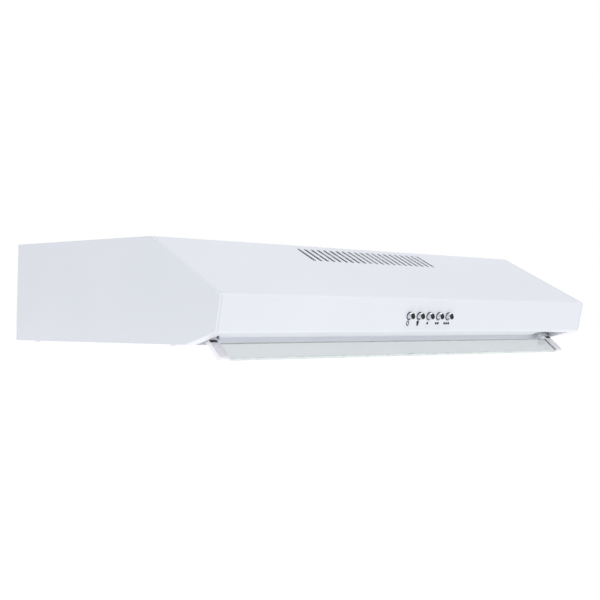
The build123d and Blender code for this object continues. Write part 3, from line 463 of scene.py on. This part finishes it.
# %% Copy a node and soften its edges
def copy_of(node):
    shape = bmesh.new()
    shape.from_mesh(frame["nodes"][node].data)
    bmesh.ops.remove_doubles(shape, verts=shape.verts, dist=1e-6)
    bmesh.ops.dissolve_limit(
        shape, angle_limit=radians(1), verts=shape.verts, edges=shape.edges
    )
    return shape


def soften(shape, width, segments=2, sharper_than=40):
    sharp = [
        edge
        for edge in shape.edges
        if edge.is_manifold and edge.calc_face_angle(0) > radians(sharper_than)
    ]
    bmesh.ops.bevel(
        shape,
        geom=sharp,
        offset=width,
        segments=segments,
        profile=0.5,
        affect="EDGES",
        material=-1,
        clamp_overlap=True,
    )
    return shape



# %% [markdown]
# ## The visor
# The pane is a plain strip of float glass whose long edges are ground to a
# small chamfer. Copying the node keeps it exactly where the arms grip it. Its
# faces get the clear finish, and every face narrower than the pane is thick
# gets the green one.

# %% Grind the pane's edges
pane_shape = soften(copy_of("visor_glass"), 0.0005, segments=1)
pane = add_piece(
    "visor_pane", pane_shape, visor_clear, "visor", ["visor_glass"]
)
pane.data.materials.append(visor_edge.material)
widest = max(face.area for face in pane.data.polygons)
for face in pane.data.polygons:
    face.material_index = 0 if face.area > widest / 2 else 1
print(sum(f.material_index for f in pane.data.polygons), "edge faces")

# %% [markdown]
# The arms are injection mouldings: no edge of theirs is truly sharp, and a
# highlight runs along each one. The node's own outline already has the round
# tip and boss, so a copy with softened edges is all that is needed.

# %% Mould the arms
for side in ("left", "right"):
    node = f"{side}_visor_arm"
    arm_shape = soften(copy_of(node), 0.0004)
    add_piece(f"{side}_arm", arm_shape, white_plastic, "visor", [node])

# %% [markdown]
# A thin rubber pad is glued on top of each arm, where it would knock against
# the tray. It is laid out in the arm's own plane: along the arm from the hinge,
# across the casing, and up from the arm's top face. Its size is across, along
# and up in that plane.

# %% Glue on two stop pads
hinge = Vector((0, -0.44031, -0.107545))
along_arm = Vector((0, -0.7944, -0.6074))
off_arm = Vector((0, -0.6074, 0.7944))
pad_size = (0.009, 0.0036, 0.0005)
pad_from_hinge, pad_off_arm, pad_inset = 0.0078, 0.00304, 0.0052
for side, sign in (("left", -1), ("right", 1)):
    low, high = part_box(f"{side}_visor_arm")
    outer = high.x if sign > 0 else low.x
    pad = bmesh.new()
    corners = bmesh.ops.create_cube(pad, size=1)["verts"]
    bmesh.ops.scale(pad, vec=pad_size, verts=corners)
    base = Matrix((Vector((1, 0, 0)), along_arm, off_arm)).transposed().to_4x4()
    middle = hinge + along_arm * pad_from_hinge + off_arm * pad_off_arm
    middle.x = outer - sign * pad_inset
    bmesh.ops.transform(pad, matrix=Matrix.Translation(middle) @ base, verts=pad.verts)
    bmesh.ops.recalc_face_normals(pad, faces=pad.faces)
    soften(pad, 0.00012)
    add_piece(f"{side}_stop_pad", pad, latch_plastic, "visor")

# %% [markdown]
# ## The push buttons
# A button is a turned metal tube with a chamfered mouth and a shallow groove,
# closed by a black cap whose face is slightly dished for the finger. Both are
# bodies of revolution, so each is a profile of a few points spun about the
# button's axis. The square stem behind the tube works the switch. The tube is
# open at the back, so that it slides over its return spring when pressed.


# %% Spin a profile about an axis that runs along Y
def turned(profile, centre, steps=48):
    """profile holds (radius, y) pairs from one pole or rim to the other."""
    shape = bmesh.new()
    points = [shape.verts.new((centre.x + r, y, centre.z)) for r, y in profile]
    edges = [shape.edges.new(pair) for pair in zip(points, points[1:])]
    bmesh.ops.spin(
        shape,
        geom=points + edges,
        cent=centre,
        axis=(0, 1, 0),
        angle=2 * pi,
        steps=steps,
        use_merge=True,
    )
    bmesh.ops.remove_doubles(shape, verts=shape.verts, dist=1e-7)
    bmesh.ops.recalc_face_normals(shape, faces=shape.faces)
    return shape


# %% Turn the five buttons
button_names = ["off", "light", "speed_1", "speed_2", "speed_3"]
button_places = {}
skirt, tube_wall = 0.006, 0.00015
stem_width, stem_behind = 0.0036, 0.014
for name in button_names:
    low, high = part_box(f"cap_{name}")
    centre = (low + high) / 2
    button_places[name] = centre
    radius = (high.x - low.x) / 2
    front, seat = low.y, high.y
    stem_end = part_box(f"button_{name}")[1].y
    back = stem_end - stem_behind
    sleeve = turned(
        [
            (0, seat),
            (radius - 0.0008, seat),
            (radius - 0.0006, front + 0.0002),
            (radius - 0.0003, front),
            (radius, front + 0.0004),
            (radius, front + 0.0017),
            (radius - tube_wall, front + 0.0019),
            (radius - tube_wall, front + 0.0022),
            (radius, front + 0.0024),
            (radius, back),
            (radius - tube_wall, back),
            (radius - tube_wall, back - skirt),
            (0, back - skirt),
        ],
        centre,
    )
    stem = bmesh.ops.create_cube(sleeve, size=stem_width)["verts"]
    stem_length = skirt + stem_behind
    bmesh.ops.scale(sleeve, vec=(1, stem_length / stem_width, 1), verts=stem)
    stem_middle = Vector((centre.x, stem_end - stem_length / 2, centre.z))
    bmesh.ops.translate(sleeve, vec=stem_middle, verts=stem)
    button = f"button_{name}"
    add_piece(f"sleeve_{name}", sleeve, chrome, button, [button])
    cap = turned(
        [
            (0, front + 0.00032),
            (radius * 0.35, front + 0.00027),
            (radius * 0.62, front + 0.0001),
            (radius - 0.0011, front + 0.00003),
            (radius - 0.00085, front + 0.00012),
            (radius - 0.00082, seat - 0.00002),
            (0, seat - 0.00002),
        ],
        centre,
    )
    add_piece(
        f"face_{name}", cap, black_gloss, button, [f"cap_{name}"]
    )

# %% [markdown]
# ## The printed signs
# Under each button a small dark sign is printed on the nose: a nought for off,
# a lamp, then one, two and three dots for the speeds. Pad printing leaves a
# film a few hundredths of a millimetre thick, so each sign is a thin flat
# mesh, drawn in the plane of the nose and laid on it.

# %% The plane of the nose
nose_top = Vector((0, -0.4900, -0.0615))
nose_foot = Vector((0, -0.4825, -0.0995))
up_nose = (nose_top - nose_foot).normalized()
across = Vector((1, 0, 0))
out_of_nose = across.cross(up_nose)
nose_frame = (
    Matrix.Translation(nose_top)
    @ Matrix((across, up_nose, out_of_nose)).transposed().to_4x4()
)
film_thickness = 0.00004
print("the nose leans", round(1000 * (nose_foot.y - nose_top.y), 1), "mm")


# %% Draw a nought, a lamp and dots
def dot(shape, x, y, radius):
    made = bmesh.ops.create_circle(shape, cap_ends=True, radius=radius, segments=24)
    bmesh.ops.translate(shape, vec=(x, y, 0), verts=made["verts"])
    return made["verts"]


def nought(shape, width, height, stroke):
    verts = dot(shape, 0, 0, width / 2)
    bmesh.ops.scale(shape, vec=(1, height / width, 1), verts=verts)
    disc = shape.faces[:]
    bmesh.ops.inset_individual(shape, faces=disc, thickness=stroke)
    bmesh.ops.delete(shape, geom=disc, context="FACES_ONLY")


def lamp_sign(shape, radius):
    bulb = dot(shape, 0, radius * 0.55, radius)
    bmesh.ops.delete(shape, geom=shape.faces[:], context="FACES_ONLY")
    base = [
        shape.verts.new((x * radius, y * radius, 0))
        for x, y in ((-0.42, -1.5), (0.42, -1.5))
    ]
    bmesh.ops.convex_hull(shape, input=bulb + base)
    bmesh.ops.dissolve_limit(
        shape, angle_limit=radians(1), verts=shape.verts, edges=shape.edges
    )


# %% Print them under the buttons
sign_drop = 0.0288
sign_shift = -0.0015
sign_lift = 0.000005
dot_pitch, dot_radius, bulb_radius = 0.0035, 0.00155, 0.0021
ink = moulded("sign_ink", shade(20, 22, 28), 0.6, 2000, 0.00001)
for name in button_names:
    sign = bmesh.new()
    if name == "off":
        nought(sign, 0.0046, 0.0064, 0.0012)
    elif name == "light":
        lamp_sign(sign, bulb_radius)
    else:
        count = button_names.index(name) - 1
        for k in range(count):
            dot(sign, (k - (count - 1) / 2) * dot_pitch, 0, dot_radius)
    raised = bmesh.ops.extrude_face_region(sign, geom=sign.faces[:])["geom"]
    lifted = [g for g in raised if isinstance(g, bmesh.types.BMVert)]
    bmesh.ops.translate(sign, vec=(0, 0, film_thickness), verts=lifted)
    bmesh.ops.recalc_face_normals(sign, faces=sign.faces)
    x = button_places[name].x + sign_shift
    place = nose_frame @ Matrix.Translation((x, -sign_drop, sign_lift))
    bmesh.ops.transform(sign, matrix=place, verts=sign.verts)
    add_piece(f"sign_{name}", sign, ink, "casing")

# %% [markdown]
# ## Grease filters
# Each cassette holds several layers of expanded aluminium: foil that is slit
# and pulled sideways until the slits open into diamonds. One strand of it is a
# zigzag ribbon, and neighbouring strands touch where their corners meet. The
# layers are crossed by shifting every other one half a mesh. A strand has only
# one face a step, so thousands of diamonds stay light. The underside of a hood
# falls a little towards the wall, and the layers follow it.


# %% Weave one layer of expanded foil
def expanded_layer(shape, low, high, level, shift):
    """Zigzag strands along X that fill the plan; level gives z from y."""
    half_step, row, strand = 0.0032, 0.0029, 0.0005
    count = int((high.x - low.x) / half_step)
    for r in range(int((high.y - low.y) / row)):
        middle = low.y + (r + 0.5) * row
        points = []
        for k in range(count + 1):
            swing = (1 if (k + r + shift) % 2 else -1) * row * 0.4
            y = middle + swing
            points.append(shape.verts.new((low.x + k * half_step, y, level(y))))
        edges = [shape.edges.new(pair) for pair in zip(points, points[1:])]
        band = bmesh.ops.extrude_edge_only(shape, edges=edges)["geom"]
        moved = [g for g in band if isinstance(g, bmesh.types.BMVert)]
        bmesh.ops.translate(shape, vec=(0, strand * 0.5, strand), verts=moved)


# %% Fill both cassettes
fall = 16 / 427
layers = 4
lowest, top_room = 0.0001, 0.0008
for side in ("left", "right"):
    node = f"{side}_filter_mesh"
    low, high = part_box(node)
    foil = bmesh.new()
    thick = high.z - low.z - fall * (high.y - low.y)
    for layer in range(layers):
        lift = lowest + (thick - top_room) * layer / (layers - 1)
        expanded_layer(
            foil, low, high, lambda y: low.z + lift + fall * (high.y - y), layer % 2
        )
    add_piece(
        f"{side}_foil", foil, filter_metal, f"{side}_filter", [node]
    )

# %% [markdown]
# ## Studio
# The hood hangs in front of a white sweep. A large pale floor lies well below
# it, the world gives an even white surround, and three big soft lamps shape it:
# the key from above lights the slope, a low one fills the nose, and a weak one
# keeps the side a shade darker.

# %% Floor
floor_level = cad_low.z - 1.6
floor_mesh = bmesh.new()
bmesh.ops.create_grid(floor_mesh, x_segments=1, y_segments=1, size=40)
bmesh.ops.translate(floor_mesh, vec=(0, 0, floor_level), verts=floor_mesh.verts)
floor_data = bpy.data.meshes.new("floor")
floor_mesh.to_mesh(floor_data)
floor_mesh.free()
floor_finish = Finish("floor_paper", Roughness=0.9)
floor_finish.shader.inputs["Base Color"].default_value = (0.5, 0.5, 0.5, 1)
floor_finish.shader.inputs["Emission Color"].default_value = (1, 1, 1, 1)
floor_finish.shader.inputs["Emission Strength"].default_value = 0.75
floor_data.materials.append(floor_finish.material)
floor = bpy.data.objects.new("floor", floor_data)
bpy.context.scene.collection.objects.link(floor)
floor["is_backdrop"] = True
print("floor at", round(floor_level, 3))

# %% World and lamps
world = bpy.data.worlds.new("surround")
bpy.context.scene.world = world
world.use_nodes = True
sky = world.node_tree.nodes["Background"]
seen = world.node_tree.nodes.new("ShaderNodeBackground")
blend = world.node_tree.nodes.new("ShaderNodeMixShader")
rays = world.node_tree.nodes.new("ShaderNodeLightPath")
out = world.node_tree.nodes["World Output"]
sky.inputs["Color"].default_value = (0.95, 0.96, 1.0, 1)
sky.inputs["Strength"].default_value = 0.62
seen.inputs["Color"].default_value = (1, 1, 1, 1)
seen.inputs["Strength"].default_value = 1.0
world.node_tree.links.new(rays.outputs["Is Camera Ray"], blend.inputs[0])
world.node_tree.links.new(sky.outputs[0], blend.inputs[1])
world.node_tree.links.new(seen.outputs[0], blend.inputs[2])
world.node_tree.links.new(blend.outputs[0], out.inputs["Surface"])


def softbox(name, place, target, size, power, colour):
    lamp = bpy.data.lights.new(name, "AREA")
    lamp.shape = "SQUARE"
    lamp.size = size
    lamp.energy = power
    lamp.color = colour
    holder = bpy.data.objects.new(name, lamp)
    direction = Vector(target) - Vector(place)
    holder.rotation_euler = direction.to_track_quat("-Z", "Y").to_euler()
    holder.location = place
    bpy.context.scene.collection.objects.link(holder)
    print(name, power, "W")
    return holder


centre = (0, -0.25, -0.05)
softbox("key_lamp", (0.3, -1.3, 2.6), centre, 2.2, 42, (1.0, 0.99, 0.97))
softbox("low_lamp", (-0.9, -3.0, -0.8), centre, 2.4, 9.5, (1.0, 0.99, 0.98))
softbox("side_lamp", (-2.8, -0.4, 0.3), centre, 2.0, 7, (0.94, 0.97, 1.0))

# %% [markdown]
# ## Growth
# The finished model is measured again, and how much its box has grown beyond
# the mechanical one's is printed in millimetres.

# %% Compare the boxes
now_low, now_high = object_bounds()
growth = (now_high - now_low) - (cad_high - cad_low)
print("grown by", [round(1000 * v, 3) for v in growth])
